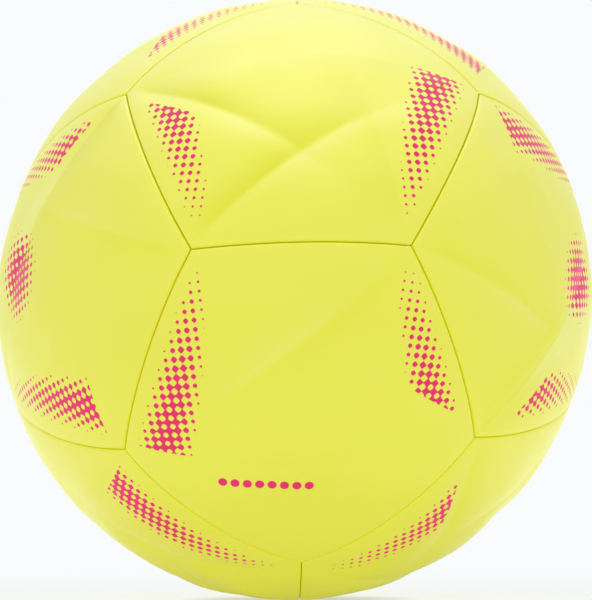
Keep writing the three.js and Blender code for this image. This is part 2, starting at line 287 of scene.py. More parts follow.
def crown(radius, inset, cells):
    """A panel's smooth face as five grids that meet in its middle: points, faces and the rim's numbers."""
    share = np.linspace(0, 1, cells + 1)
    a, b = share[:, None, None], share[None, :, None]
    middle = np.array([0, 0, radius])
    points = np.zeros((1 + CORNERS * cells + CORNERS * cells ** 2, 3))
    number = np.zeros((CORNERS, cells + 1, cells + 1), int)
    points[0] = middle
    for side in range(CORNERS):
        near = on_side(side, share, radius, inset)
        far = on_side(side + 1, -share, radius, inset)
        to_near = unit(middle + share[:, None] * (near[0] - middle)) * radius
        to_far = unit(middle + share[:, None] * (far[0] - middle)) * radius
        patch = ((1 - a) * to_far[None] + a * near[None] + (1 - b) * to_near[:, None] + b * far[:, None]
                 - (1 - a) * (1 - b) * middle - a * (1 - b) * near[0]
                 - (1 - a) * b * far[0] - a * b * near[-1])
        patch = unit(patch) * radius
        spoke = 1 + side * cells
        block = 1 + CORNERS * cells + side * cells ** 2
        number[side, 1:, 0] = np.arange(spoke, spoke + cells)
        number[side - 1, 0, 1:] = number[side, 1:, 0]
        number[side, 1:, 1:] = np.arange(block, block + cells ** 2).reshape(cells, cells)
        points[number[side, 1:, 0]] = patch[1:, 0]
        points[number[side, 1:, 1:]] = patch[1:, 1:]
    corners = [number[:, :-1, :-1], number[:, 1:, :-1], number[:, 1:, 1:], number[:, :-1, 1:]]
    faces = np.stack([c.ravel() for c in corners], axis=1)
    rim = np.concatenate([np.concatenate([number[s, cells, :-1], number[s, cells:0:-1, cells]])
                          for s in range(CORNERS)])
    return points, faces.tolist(), rim, rim[:0]


def pierced(radius, inset, cells, hole):
    """A panel's smooth face with a round hole: points, faces, and numbers of the rim and the hole's edge."""
    edge = ring(radius, inset, cells)
    turn = np.arctan2(edge[:, 1], edge[:, 0])
    far, near = np.arccos(edge[:, 2] / radius), math.asin(hole / radius)
    polar = near + np.linspace(0, 1, HOLE_RINGS)[:, None] * (far - near)
    points = np.stack([np.sin(polar) * np.cos(turn), np.sin(polar) * np.sin(turn), np.cos(polar)], axis=2)
    number = np.arange(polar.size).reshape(polar.shape)
    faces = [face for inner, outer in zip(number, number[1:]) for face in bridge(inner, outer)]
    return radius * points.reshape(-1, 3), faces, number[-1], number[0]


def bridge(first, second):
    """Faces between two rings of numbers, where the second may have fewer points, or either a single one."""
    after, beyond = np.roll(first, -1), np.roll(second, -1)
    if len(first) == 1:
        return [[first[0], here, there] for here, there in zip(second, beyond)]
    if len(second) == 1:
        return [[here, second[0], there] for here, there in zip(first, after)]
    ratio = len(first) // len(second)
    if ratio == 1:
        return np.stack([first, second, beyond, after], axis=1).tolist()
    faces = []
    for k, point in enumerate(second):
        for step in range(ratio):
            apex = point if 2 * step < ratio else beyond[k]
            faces.append([first[k * ratio + step], apex, after[k * ratio + step]])
        faces.append([point, beyond[k], first[k * ratio + (ratio + 1) // 2]])
    return faces


class Body:
    """A closed body put together from faces and rings of points."""

    def __init__(self):
        self.points = np.zeros((0, 3))
        self.faces = []

    def add(self, points, faces=(), flip=False):
        """Adds points, with faces between them, and returns their numbers in the body."""
        numbers = len(self.points) + np.arange(len(points))
        self.points = np.concatenate([self.points, points])
        self.faces += [numbers[face[::-1] if flip else face].tolist() for face in faces]
        return numbers

    def join(self, inner, outer):
        """Joins two rings, the inner one being nearer to the middle as seen from outside."""
        self.faces += bridge(inner, outer)

    def cap(self, radius, inset, cells, hole=0.0, flip=False):
        """Adds a panel's face, with a round hole if one is given, and returns its rim and the hole's edge."""
        made = pierced(radius, inset, cells, hole) if hole else crown(radius, inset, cells)
        points, faces, rim, edge = made
        numbers = self.add(points, faces, flip)
        return numbers[rim], numbers[edge]

    def skirt(self, rim, rings):
        """Goes on from a panel's rim through rings, each a radius and an inset, and returns the last one."""
        for radius, inset in rings:
            last, rim = rim, self.add(ring(radius, inset, CROWN_CELLS))
            self.join(last, rim)
        return rim

    def revolve(self, profile):
        """Adds a form turned about +Z from radii and heights that go up its outside."""
        turn = 2 * math.pi * np.arange(ROUND_STEPS) / ROUND_STEPS
        circle = np.column_stack([np.cos(turn), np.sin(turn), np.zeros(ROUND_STEPS)])
        rings = [self.add((circle if radius else circle[:1] * 0) * radius + [0, 0, height])
                 for radius, height in profile]
        onward = rings[1:] + (rings[:1] if profile[0][0] else [])
        for last, here in zip(rings, onward):
            self.join(here, last)

    def tube(self, path, outward, radii):
        """Adds a closed tube along a path, with these radii round each of its points."""
        ahead = unit(np.roll(path, -1, axis=0) - np.roll(path, 1, axis=0))
        normal = unit(outward - ahead * np.sum(outward * ahead, axis=1, keepdims=True))
        side = np.cross(ahead, normal)
        angle = 2 * math.pi * np.arange(radii.shape[1]) / radii.shape[1]
        around = np.cos(angle)[None, :, None] * normal[:, None] + np.sin(angle)[None, :, None] * side[:, None]
        points = path[:, None] + radii[:, :, None] * around
        number = self.add(points.reshape(-1, 3)).reshape(radii.shape)
        onward = np.roll(number, -1, axis=0)
        for here, there in zip(number, onward):
            self.join(here, there)


def ramp(values, start, end):
    """None up to the start, rising evenly to one at the end."""
    return np.clip((values - start) / (end - start), 0, 1)


def smooth_bump(distance, width):
    """One at no distance and close to nothing at twice the width."""
    return np.exp(-(distance / width) ** 2)


CORNER_WAYS = unit([on_side(side, [1.0], 1.0, 0.0)[0] for side in range(CORNERS)])


def folds(way, strengths):
    """How deep each point of a panel lies in the star of folds between its corners, where 1 is a whole fold,
    and on which bank: above 0 on the side of the panel's middle, and below 0 on the other side."""
    level, bank = np.ones(len(way)), np.zeros(len(way))
    for k, strength in enumerate(strengths):
        first, last = CORNER_WAYS[k], CORNER_WAYS[(k + 2) % CORNERS]
        normal = unit(np.cross(first, last))
        normal *= np.sign(normal[2])
        run = way @ unit(last - first) / (BALL * np.linalg.norm(last - first) / 2)
        off = way @ normal - STAR_BOW * np.clip(1 - run ** 2, 0, 1)
        width = np.where(off > 0, STAR_INNER, STAR_OUTER)
        away = np.sqrt(off ** 2 + STAR_CREASE ** 2) - STAR_CREASE
        flatter = 1 - STAR_END * ramp(run, *STAR_FLATTENS)
        depth = strength * np.exp(-away / width)
        level *= 1 - flatter * depth
        near = 1 - ramp(run, *NEAR_BANK_ENDS)
        far = smooth_bump(run - FAR_BANK_MIDDLE, FAR_BANK_WIDTH)
        bank += strength * depth * np.tanh(off / STAR_CREASE) * np.where(off > 0, near, far)
    return 1 - level, bank


def relief(points, place):
    """How far the cover stands out of the ball at these points of a panel."""
    way = unit(points) * BALL
    insets = way @ INWARD.T
    inset = np.maximum(insets.min(axis=1), 0)
    side = insets.argmin(axis=1)
    run = np.einsum("ij,ij->i", way, ALONG[side])
    height = -SEAM_DIP * np.exp(-inset / SEAM_DIP_WIDTH)
    height += PUCKER * np.cos(2 * math.pi * run / STITCH_PITCH) * np.exp(-inset / PUCKER_WIDTH)
    for corner in CORNER_WAYS:
        height -= CORNER_DIP * smooth_bump(np.linalg.norm(way - BALL * corner, axis=1), CORNER_DIP_WIDTH)
    fade = 1 - smooth_bump(inset, STAR_FADE)
    height -= STAR_DEPTH * folds(way, OWN_FOLDS.get(place, FOLDS))[0] * fade
    phase = list(PLACES).index(place)
    for k, length in enumerate(WAVE_LENGTHS):
        turn = WAVE_TURN * k + PANEL_TURN * phase
        slope = way[:, 0] * math.cos(turn) + way[:, 1] * math.sin(turn)
        height += WAVE_HEIGHT * fade * np.sin(2 * math.pi * slope / length + turn)
    if place == VALVE_PLACE:
        beside = np.maximum(np.linalg.norm(way[:, :2], axis=1) - VALVE_HOLE - VALVE_LIP, 0)
        height -= VALVE_DIP * smooth_bump(beside, VALVE_DIP_WIDTH)
    depth = np.linalg.norm(points, axis=1) - COVER_INSIDE
    return height * np.clip(2 * depth / (BALL - COVER_INSIDE), 0, 1)


def near_holds(points, holds):
    """How close points of the ball are to these ways out of it, from 0 to 1."""
    apart = np.linalg.norm(unit(points)[:, None] - holds[None], axis=2) * BALL
    return smooth_bump(apart, SHIFT_REACH)


def seam_holds():
    """Ways out to the ball's twenty seam corners and to uneven seams, and the weights that move them."""
    corners = [trio for trio in itertools.combinations(PLACES, 3)
               if np.linalg.norm(sum(AXES[place][:, 2] for place in trio)) > CORNER_SUM]
    holds, moves = [], []
    for places in corners + [key for key in SEAM_SHIFTS if len(key) == 2]:
        way = unit(sum(AXES[place][:, 2] for place in places))
        across, up = SEAM_SHIFTS.get(places, (0, 0))
        holds.append(way)
        moves.append([across, -(across * way[0] + up * way[2]) / way[1], up] if across or up else [0, 0, 0])
    holds = np.array(holds)
    return holds, np.linalg.solve(near_holds(holds, holds), np.array(moves))


SEAM_HOLDS, HOLD_WEIGHTS = seam_holds()


def out_of_round(way):
    """How far the soft ball stands out of a true sphere in these directions."""
    x, z = way[:, 0], way[:, 2]
    return LEAN * x + OVAL_UPRIGHT * (z ** 2 - x ** 2) + OVAL_SLANT * 2 * x * z


def settled(points):
    """Points of the even ball, moved to where they lie on this hand-sewn one."""
    moved = unit(points + near_holds(points, SEAM_HOLDS) @ HOLD_WEIGHTS)
    return moved * (np.linalg.norm(points, axis=1) + out_of_round(moved))[:, None]


def shaped(points, place):
    """A panel's points with the relief, moved to the panel's place on the ball."""
    points = points + unit(points) * relief(points, place)[:, None]
    return settled(points @ AXES[place].T)


def flattened(points):
    """Where points of a panel or lining lie when it is laid flat, across and away from its base."""
    way = unit(points)
    angle = np.arccos(np.clip(way[:, 2], -1, 1))
    return BALL * angle[:, None] * unit(way[:, :2] + TINY)


def printed(points, place):
    """Where points of a panel lie on its print, which was not laid on every panel alike."""
    across, up, stretch, turn = PRINT_FITS.get(place, (0, 0, 1, 0))
    flat = (flattened(points) - [across, up]) @ np.array(Matrix.Rotation(math.radians(turn), 2))
    return flat / [stretch, 1]


def panel_body(place):
    """One cover panel as a closed body, and the number of its faces that show the cover."""
    body = Body()
    hole = VALVE_HOLE if place == VALVE_PLACE else 0.0
    rim, mouth = body.cap(BALL, CROWN_RIM, CROWN_CELLS, hole and hole + VALVE_LIP)
    for step in range(1, SHOULDER_STEPS + 1 if hole else 0):
        angle = math.pi / 2 * step / SHOULDER_STEPS
        reach = hole + VALVE_LIP * (1 - math.sin(angle))
        lip = body.points[mouth] * [reach, reach, 0] / np.linalg.norm(body.points[mouth, :2], axis=1)[:, None]
        lip[:, 2] = math.sqrt(BALL ** 2 - reach ** 2) - VALVE_LIP * (1 - math.cos(angle))
        outer, mouth = mouth, body.add(lip)
        body.join(mouth, outer)
    rings = [(BALL, inset) for inset in EDGE_RINGS]
    for step in range(SHOULDER_STEPS + 1):
        angle = math.pi / 2 * step / SHOULDER_STEPS
        rings.append((BALL - SHOULDER * (1 - math.cos(angle)), HEM_FACE + SHOULDER * (1 - math.sin(angle))))
    rim = body.skirt(rim, rings)
    shown = len(body.faces)
    hem = [(BALL - depth, HEM_FACE) for depth in HEM_RINGS]
    hem += [(HEM_EDGE, HEM_FACE), (HEM_EDGE, HEM_BACK), (COVER_INSIDE, HEM_BACK)]
    rim = body.skirt(rim, hem)
    under, edge = body.cap(COVER_INSIDE, BACK_RIM, CROWN_CELLS if hole else BACK_CELLS, hole, flip=True)
    body.join(rim, under)
    if hole:
        body.join(edge, mouth)
    return body, shown


def lining_body(place):
    """The cloth behind one panel as a closed body."""
    body = Body()
    hole = VALVE_HOLE if place == VALVE_PLACE else 0.0
    rim, mouth = body.cap(LINING_OUTSIDE, LINING_RIM, LINING_CELLS, hole)
    under, edge = body.cap(LINING_INSIDE, LINING_RIM, LINING_CELLS, hole, flip=True)
    body.join(rim, under)
    if hole:
        body.join(edge, mouth)
    return body


def thread_body(first, second):
    """A seam's thread: along the back of one hem, through both at the end, and back behind the other hem."""
    ways = [AXES[place][:, 2] for place in (first, second)]
    out, across = unit(ways[0] + ways[1]), unit(ways[0] - ways[1])
    along = np.cross(across, out)
    reach = half_span(STITCH_LINE, 0) * STITCH_LINE - STITCH_MARGIN
    run = np.linspace(-reach, reach, round(2 * reach / THREAD_STEP))
    lift = THREAD_RUN - THREAD_PULL * np.cos(2 * math.pi * (run + reach) / STITCH_PITCH)
    passing = np.linspace(THREAD_RUN, -THREAD_RUN, round(2 * THREAD_RUN / THREAD_STEP))[1:-1]
    spot = np.concatenate([run, 0 * passing + reach, -run, 0 * passing - reach])
    side = np.concatenate([lift, passing, -lift, -passing])
    for _ in range(THREAD_SMOOTHING):
        spot = (np.roll(spot, 1) + 2 * spot + np.roll(spot, -1)) / 4
        side = (np.roll(side, 1) + 2 * side + np.roll(side, -1)) / 4
    angle = spot[:, None] / STITCH_LINE
    path = settled(STITCH_LINE * (np.cos(angle) * out + np.sin(angle) * along) + side[:, None] * across)
    turns = round(len(path) * THREAD_STEP / THREAD_TWIST)
    twist = 2 * math.pi * turns * np.arange(len(path)) / len(path)
    strand = 2 * math.pi * np.arange(THREAD_SIDES) / THREAD_SIDES
    ridges = np.cos(2 * strand[None] - twist[:, None])
    radii = THREAD_RADIUS * (1 - THREAD_RIDGE + THREAD_RIDGE * ridges)
    body = Body()
    body.tube(path, unit(path), radii)
    return body


def bladder_radii(points, place):
    """Outer and inner radius of the bladder in the ways of these points of a panel."""
    way = unit(points)
    inset = (BALL * way @ INWARD.T).min(axis=1)
    rise = ramp(inset, *BLADDER_RISE)
    outer = BLADDER_SEAM + (BLADDER_CROWN - BLADDER_SEAM) * rise ** 2 * (3 - 2 * rise)
    inner = outer - BLADDER_WALL
    if place == VALVE_PLACE:
        reach = BLADDER_CROWN * np.linalg.norm(way[:, :2], axis=1)
        pad = 1 - ramp(reach, PAD_RIM, PAD_RIM + PAD_SLOPE)
        inner = inner + pad * (PAD_FACE / way[:, 2] - inner)
    return outer, inner


def bladder_body():
    """The bladder, pressed out against the linings and drawn in along the seams."""
    body = Body()
    for place, axes in AXES.items():
        hole = VALVE_HOLE if place == VALVE_PLACE else 0.0
        patch = Body()
        _, mouth = patch.cap(BLADDER_CROWN, 0.0, BLADDER_CELLS, hole)
        count = len(patch.points)
        _, edge = patch.cap(BLADDER_CROWN, 0.0, BLADDER_CELLS, hole, flip=True)
        if hole:
            patch.join(edge, mouth)
        outer, inner = bladder_radii(patch.points, place)
        radius = np.where(np.arange(len(patch.points)) < count, outer, inner)
        points = settled(unit(patch.points) * radius[:, None] @ axes.T)
        body.add(points, [np.array(face) for face in patch.faces])
    return body


def rounded(profile):
    """A profile with its corners rounded, apart from those on the axis."""
    profile = np.array(profile, float)
    made = []
    for before, corner, after in zip(np.roll(profile, 1, axis=0), profile, np.roll(profile, -1, axis=0)):
        if corner[0] == 0:
            made.append(corner)
            continue
        edges = [before - corner, after - corner]
        back, on = (edge * min(VALVE_ROUNDING / np.linalg.norm(edge), ROUNDING_SHARE) for edge in edges)
        made += [corner + (1 - t) ** 2 * back + t ** 2 * on for t in np.linspace(0, 1, ROUNDING_STEPS)]
    return made


def boot_body():
    """The valve's rubber boot: neck through the cover, flange under the bladder's pad, and barrel."""
    body = Body()
    body.revolve(rounded([
        (BOOT_BORE, BARREL_FOOT),
        (BOOT_BARREL, BARREL_FOOT),
        (BOOT_BARREL, FLANGE_BOTTOM),
        (BOOT_FLANGE, FLANGE_BOTTOM),
        (BOOT_FLANGE, FLANGE_TOP),
        (BOOT_NECK, FLANGE_TOP),
        (BOOT_NECK, MOUTH),
        (BOOT_SEAT, MOUTH),
        (BOOT_SEAT, HEAD_SEAT),
        (BOOT_BORE, HEAD_SEAT),
    ]))
    body.points = body.points @ AXES[VALVE_PLACE].T
    return body


def plug_body():
    """The push-in plug, with a funnel that leads a pump's needle into its channel."""
    body = Body()
    head = HEAD_SEAT + LAYER_GAP
    body.revolve(rounded([
        (0, PLUG_FOOT),
        (PLUG_SHANK, PLUG_FOOT),
        (PLUG_SHANK, head),
        (PLUG_HEAD, head),
        (PLUG_HEAD, MOUTH),
        (PLUG_FUNNEL, MOUTH),
        (PLUG_CHANNEL, FUNNEL_FOOT),
        (PLUG_CHANNEL, NEEDLE_FOOT),
        (0, NEEDLE_FOOT),
    ]))
    body.points = body.points @ AXES[VALVE_PLACE].T
    return body


# Meshes and materials.

def new_mesh(name, points, faces, *materials):
    """A smooth mesh object from points in millimetres."""
    mesh = bpy.data.meshes.new(name)
    mesh.from_pydata((np.asarray(points) * MM).tolist(), [], faces)
    for material in materials:
        mesh.materials.append(material)
    mesh.polygons.foreach_set("use_smooth", [True] * len(mesh.polygons))
    piece = bpy.data.objects.new(name, mesh)
    bpy.context.scene.collection.objects.link(piece)
    return piece


def take_place(piece, node, body="ball"):
    """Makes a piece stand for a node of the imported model."""
    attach(piece, body)
    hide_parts(node)
    return piece


class Shader:
    """A node material, with short calls for its nodes."""

    def __init__(self, name):
        self.material = bpy.data.materials.new(name)
        self.material.use_nodes = True
        self.tree = self.material.node_tree
        self.surface = self.tree.nodes["Principled BSDF"]

    def node(self, kind, **settings):
        """A new node with these settings."""
        made = self.tree.nodes.new("ShaderNode" + kind)
        for key, value in settings.items():
            setattr(made, key, value)
        return made

    def feed(self, socket, value):
        """Links an output to a socket, or sets the socket to a plain value."""
        if isinstance(value, bpy.types.NodeSocket):
            self.tree.links.new(value, socket)
        else:
            socket.default_value = value

    def math(self, operation, *values, clamp=False):
        """One step of arithmetic on values and outputs."""
        made = self.node("Math", operation=operation, use_clamp=clamp)
        for socket, value in zip(made.inputs, values):
            self.feed(socket, value)
        return made.outputs[0]

    def mix(self, factor, first, second):
        """A colour between two."""
        made = self.node("Mix", data_type="RGBA")
        for socket, value in zip((made.inputs[0], made.inputs[6], made.inputs[7]), (factor, first, second)):
            self.feed(socket, value)
        return made.outputs[2]

    def span(self, value, low, high, to_low, to_high):
        """A value carried from one range to another, and held at its ends."""
        made = self.node("MapRange")
        for socket, given in zip(made.inputs, (value, low, high, to_low, to_high)):
            self.feed(socket, given)
        return made.outputs[0]

    def place(self):
        """The place on the object, in metres."""
        return self.node("TexCoord").outputs["Object"]

    def noise(self, size, detail=2.0):
        """Noise with features of about this size in millimetres."""
        made = self.node("TexNoise")
        self.feed(made.inputs["Vector"], self.place())
        self.feed(made.inputs["Scale"], 1 / (size * MM))
        self.feed(made.inputs["Detail"], detail)
        return made.outputs[0]

    def bump(self, height, depth, strength=1.0):
        """Bump of this depth in millimetres."""
        made = self.node("Bump")
        self.feed(made.inputs["Strength"], strength)
        self.feed(made.inputs["Distance"], depth * MM)
        self.feed(made.inputs["Height"], height)
        self.feed(self.surface.inputs["Normal"], made.outputs[0])

    def set(self, **values):
        """Feeds the surface's own sockets."""
        for key, value in values.items():
            self.feed(self.surface.inputs[key.replace("_", " ")], value)


YELLOW = (0.80, 0.785, 0.014, 1)
YELLOW_DEEP = (0.785, 0.76, 0.011, 1)
YELLOW_PAINTED_HIGHLIGHT = (0.83, 0.82, 0.14, 1)   # painted highlight on the far bank of a fold
# painted shade: the deeper yellow, with less blue, that the seams show in their shade
SEAM_PAINTED_SHADE = (0.86, 0.83, 0.004, 1)
INK = (0.80, 0.02, 0.14, 1)
SHINE = 1.0
SHINE_FOLDED = 0.5                    # on the near bank of a deep fold
SHINE_INK = 0.25
SHINE_SEAM = 0.06
LEATHER_ROUGHNESS = (0.37, 0.42)
FOAM = (0.78, 0.76, 0.70, 1)
FOAM_DARK = (0.66, 0.64, 0.58, 1)
CLOTH = (0.82, 0.78, 0.69, 1)
CLOTH_BETWEEN = (0.62, 0.58, 0.49, 1)
CLOTH_STAIN = (0.56, 0.52, 0.43, 1)
STAIN_MOST = 0.25
WEAVE_PITCH = 1.1
YARN = (0.40, 0.42, 0.03, 1)
YARN_DARK = (0.28, 0.29, 0.02, 1)
BLADDER_RUBBER = dict(colour=(0.022, 0.020, 0.018, 1), dust=(0.10, 0.095, 0.085, 1), roughness=0.55)
VALVE_RUBBER = dict(colour=(0.012, 0.012, 0.013, 1), dust=(0.05, 0.05, 0.05, 1), roughness=0.45)
RUBBER_SPREAD = 0.06                  # how far its roughness varies to either side
DUST_RANGE = (0.45, 0.75)
DUST_MOST = 0.35
NOISE_RANGE = (0.3, 0.7)              # where nearly all of a noise's values lie

# The halftone print on a flattened panel: a band on each side of the base edge, as ridge line, width and
# weight along the way up from the base, with the dots' grid and where the band is cut off.
PRINT_BANDS = {
    1: dict(ridge=(38.3, 0.17, 0.001), width=(8.35, 0.083, -0.0018), weight=(0.63, 0.009, -0.00015),
            origin=(31.92, -34.37), pitch=2.70, turn=11.7, cut=(16.0, 0.0)),
    -1: dict(ridge=(38.4, 0.205, 0.0), width=(8.3, 0.098, 0.0), weight=(0.70, 0.0165, 0.0),
             origin=(29.24, -37.86), pitch=2.655, turn=11.2, cut=(-27.4, 0.70)),
}
BAND_BELL = 1.4                       # how steeply a band's dots shrink away from its ridge
CUT_EDGE = 0.05
DOT_GROWTH = (2.86, 4.56)             # how a dot grows with its weight, and more steeply at both ends
DOT_LEAST = 0.015                     # weight of the smallest dot that prints
DOT_EDGE = 0.12
# Plain motifs on some panels, by their places on the flattened panel.
DISC_MIDDLE = (0.0, -18.5)
DISC_RADIUS = 14.0
DISC_CORE = 0.35 * DISC_RADIUS
DISC_WEIGHT = 0.8
DISC_GRID = dict(origin=DISC_MIDDLE, pitch=2.7, turn=11.7)
ROW_MIDDLE = (10.6, 23.3)
ROW_PITCH = 3.6
ROW_COUNT = 8
ROW_DOT = 1.35
ROW_EDGE = 0.1


def polynomial(shader, terms, x):
    """terms[0] + terms[1] x + terms[2] x squared."""
    inner = shader.math("MULTIPLY_ADD", x, terms[2], terms[1])
    return shader.math("MULTIPLY_ADD", x, inner, terms[0])


def dots(shader, across, up, weight, origin, pitch, turn):
    """Ink of a halftone grid, from none to full, for a weight from 0 to 1."""
    c, s = math.cos(math.radians(turn)), math.sin(math.radians(turn))
    dx = shader.math("SUBTRACT", across, origin[0])
    dy = shader.math("SUBTRACT", up, origin[1])
    step = 2 * math.pi / pitch
    column = shader.math("MULTIPLY_ADD", dx, c * step, shader.math("MULTIPLY", dy, s * step))
    row = shader.math("MULTIPLY_ADD", dy, c * step, shader.math("MULTIPLY", dx, -s * step))
    wave = shader.math("ADD", shader.math("COSINE", column), shader.math("COSINE", row))
    x = shader.math("SUBTRACT", weight, 0.5)
    growth = shader.math("MULTIPLY_ADD", shader.math("MULTIPLY", x, x), DOT_GROWTH[1], DOT_GROWTH[0])
    above = shader.math("MULTIPLY_ADD", x, growth, wave)
    ink = shader.span(above, -DOT_EDGE, DOT_EDGE, 0, 1)
    return shader.math("MULTIPLY", ink, shader.math("GREATER_THAN", weight, DOT_LEAST))


def band_ink(shader, across, up, mirror, ridge, width, weight, cut, **grid):
    """Ink of one halftone band."""
    along = shader.math("MULTIPLY", across, mirror)
    off = shader.math("SUBTRACT", along, polynomial(shader, ridge, up))
    off = shader.math("DIVIDE", off, polynomial(shader, width, up))
    bell = shader.math("SUBTRACT", 1, shader.math("MULTIPLY", off, off), clamp=True)
    bell = shader.math("POWER", bell, BAND_BELL)
    weight = shader.math("MULTIPLY", bell, polynomial(shader, weight, up))
    limit = shader.math("MULTIPLY_ADD", along, cut[1], cut[0])
    inside = shader.span(shader.math("SUBTRACT", limit, up), -CUT_EDGE, CUT_EDGE, 0, 1)
    return shader.math("MULTIPLY", dots(shader, along, up, weight, **grid), inside)


def disc_ink(shader, across, up):
    """Ink of a round patch of halftone dots that shrink towards its edge."""
    dx, dy = (shader.math("SUBTRACT", value, middle) for value, middle in zip((across, up), DISC_MIDDLE))
    square = shader.math("MULTIPLY_ADD", dx, dx, shader.math("MULTIPLY", dy, dy))
    weight = shader.span(shader.math("SQRT", square), DISC_CORE, DISC_RADIUS, DISC_WEIGHT, 0)
    return dots(shader, across, up, weight, **DISC_GRID)


def row_ink(shader, across, up):
    """Ink of a short row of round dots."""
    dx, dy = (shader.math("SUBTRACT", value, middle) for value, middle in zip((across, up), ROW_MIDDLE))
    cell = shader.math("WRAP", dx, ROW_PITCH, 0)
    cell = shader.math("SUBTRACT", cell, ROW_PITCH / 2)
    reach = shader.math("SQRT", shader.math("MULTIPLY_ADD", cell, cell, shader.math("MULTIPLY", dy, dy)))
    ink = shader.span(reach, ROW_DOT - ROW_EDGE, ROW_DOT + ROW_EDGE, 1, 0)
    inside = shader.math("LESS_THAN", shader.math("ABSOLUTE", dx), ROW_COUNT * ROW_PITCH / 2)
    return shader.math("MULTIPLY", ink, inside)


def flat_map(shader):
    """A piece's flattened map, across and up, from 0 to 1."""
    flat = shader.node("SeparateXYZ")
    shader.feed(flat.inputs[0], shader.node("UVMap", uv_map="flat").outputs[0])
    return flat.outputs[0], flat.outputs[1]


def cover_material(name, *motifs):
    """Yellow synthetic leather with the halftone print and further motifs."""
    shader = Shader(name)
    across, up = (shader.math("MULTIPLY_ADD", way, UV_SPAN, -UV_SPAN / 2) for way in flat_map(shader))
    inks = [band_ink(shader, across, up, mirror, **band) for mirror, band in PRINT_BANDS.items()]
    inks += [motif(shader, across, up) for motif in motifs]
    ink = inks[0]
    for other in inks[1:]:
        ink = shader.math("MAXIMUM", ink, other)
    patches = shader.span(shader.noise(size=40), *NOISE_RANGE, 0, 1)
    bank = shader.node("Attribute", attribute_name="bank").outputs["Fac"]
    colour = shader.mix(patches, YELLOW, YELLOW_DEEP)
    # Painted highlight: the far bank of each fold is paler.
    colour = shader.mix(shader.span(bank, 0, -1, 0, 1), colour, YELLOW_PAINTED_HIGHLIGHT)
    colour = shader.mix(ink, colour, INK)
    groove = shader.node("Attribute", attribute_name="groove").outputs["Fac"]
    # Painted shade: the cover turns a deeper yellow with less blue down the roll into each seam.
    colour = shader.mix(groove, colour, SEAM_PAINTED_SHADE)
    shader.bump(shader.noise(size=0.55, detail=3), depth=0.035, strength=0.6)
    roughness = shader.span(shader.noise(size=12), *NOISE_RANGE, *LEATHER_ROUGHNESS)
    shader.set(Base_Color=colour, Roughness=roughness)
    gloss = shader.span(bank, 0, 1, SHINE, SHINE_FOLDED)
    gloss = shader.span(ink, 0, 1, gloss, SHINE_INK)
    gloss = shader.span(shader.math("POWER", groove, 2), 0, 1, gloss, SHINE_SEAM)
    shader.set(Specular_IOR_Level=gloss)
    return shader.material


def backing_material():
    """Off-white foam and cloth behind the cover."""
    shader = Shader("cover_backing")
    colour = shader.mix(shader.noise(size=1.2), FOAM, FOAM_DARK)
    shader.bump(shader.noise(size=0.5), depth=0.1)
    shader.set(Base_Color=colour, Roughness=0.9)
    return shader.material


def cloth_material():
    """Plain-woven cotton and polyester backing cloth."""
    shader = Shader("lining_cloth")
    step = 2 * math.pi * UV_SPAN / WEAVE_PITCH
    warp, weft = (shader.math("SINE", shader.math("MULTIPLY", way, step)) for way in flat_map(shader))
    weave = shader.span(shader.math("MULTIPLY", warp, weft), -1, 1, 0, 1)
    stains = shader.span(shader.noise(size=8), *NOISE_RANGE, 0, STAIN_MOST)
    colour = shader.mix(stains, shader.mix(weave, CLOTH_BETWEEN, CLOTH), CLOTH_STAIN)
    shader.bump(weave, depth=0.12)
    shader.set(Base_Color=colour, Roughness=0.92, Specular_IOR_Level=0.2)
    return shader.material


def yarn_material():
    """Waxed polyester sewing thread."""
    shader = Shader("sewing_thread")
    colour = shader.mix(shader.noise(size=0.5), YARN, YARN_DARK)
    shader.bump(shader.noise(size=0.12, detail=3), depth=0.04)
    shader.set(Base_Color=colour, Roughness=0.6)
    return shader.material


def rubber_material(name, colour, dust, roughness):
    """Moulded rubber with a little dust on it."""
    shader = Shader(name)
    specks = shader.span(shader.noise(size=6, detail=4), *DUST_RANGE, 0, DUST_MOST)
    shader.bump(shader.noise(size=0.35, detail=3), depth=0.03)
    shader.set(Base_Color=shader.mix(specks, colour, dust))
    least, most = roughness - RUBBER_SPREAD, roughness + RUBBER_SPREAD
    shader.set(Roughness=shader.span(shader.noise(size=3), *NOISE_RANGE, least, most))
    return shader.material


# Pieces.

def add_map(piece, flat):
    """Gives a piece its flattened map, from a place for each of its points."""
    mesh = piece.data
    loops = np.zeros(len(mesh.loops), int)
    mesh.loops.foreach_get("vertex_index", loops)
    flat = (flat / UV_SPAN + 0.5).astype(np.float32)
    mesh.uv_layers.new(name="flat").uv.foreach_set("vector", flat[loops].ravel())


def add_panel(place, cover, backing):
    """One cover panel with its map for the print."""
    body, shown = panel_body(place)
    piece = new_mesh("cover_" + place, shaped(body.points, place), body.faces, cover, backing)
    mesh = piece.data
    mesh.polygons.foreach_set("material_index", [0] * shown + [1] * (len(body.faces) - shown))
    depth = BALL - np.linalg.norm(body.points, axis=1)
    # How far a point lies down the roll into a seam, which sets the painted seam shade and the lower gloss.
    groove = np.clip(2 * depth / SHOULDER, 0, 1)
    mesh.attributes.new("groove", "FLOAT", "POINT").data.foreach_set("value", groove)
    way = unit(body.points) * BALL
    fade = 1 - smooth_bump(np.maximum((way @ INWARD.T).min(axis=1), 0), STAR_FADE)
    # Below 0 the bank sets the cover's painted highlight along the folds' far banks.
    bank = folds(way, OWN_FOLDS.get(place, FOLDS))[1] * fade
    mesh.attributes.new("bank", "FLOAT", "POINT").data.foreach_set("value", bank)
    add_map(piece, printed(body.points, place))
    take_place(piece, "panel_" + place)


def add_lining(place, cloth):
    """The cloth behind one panel."""
    body = lining_body(place)
    piece = new_mesh("cloth_" + place, settled(body.points @ AXES[place].T), body.faces, cloth)
    flat = flattened(body.points)
    add_map(piece, flat)
    take_place(piece, "lining_" + place)


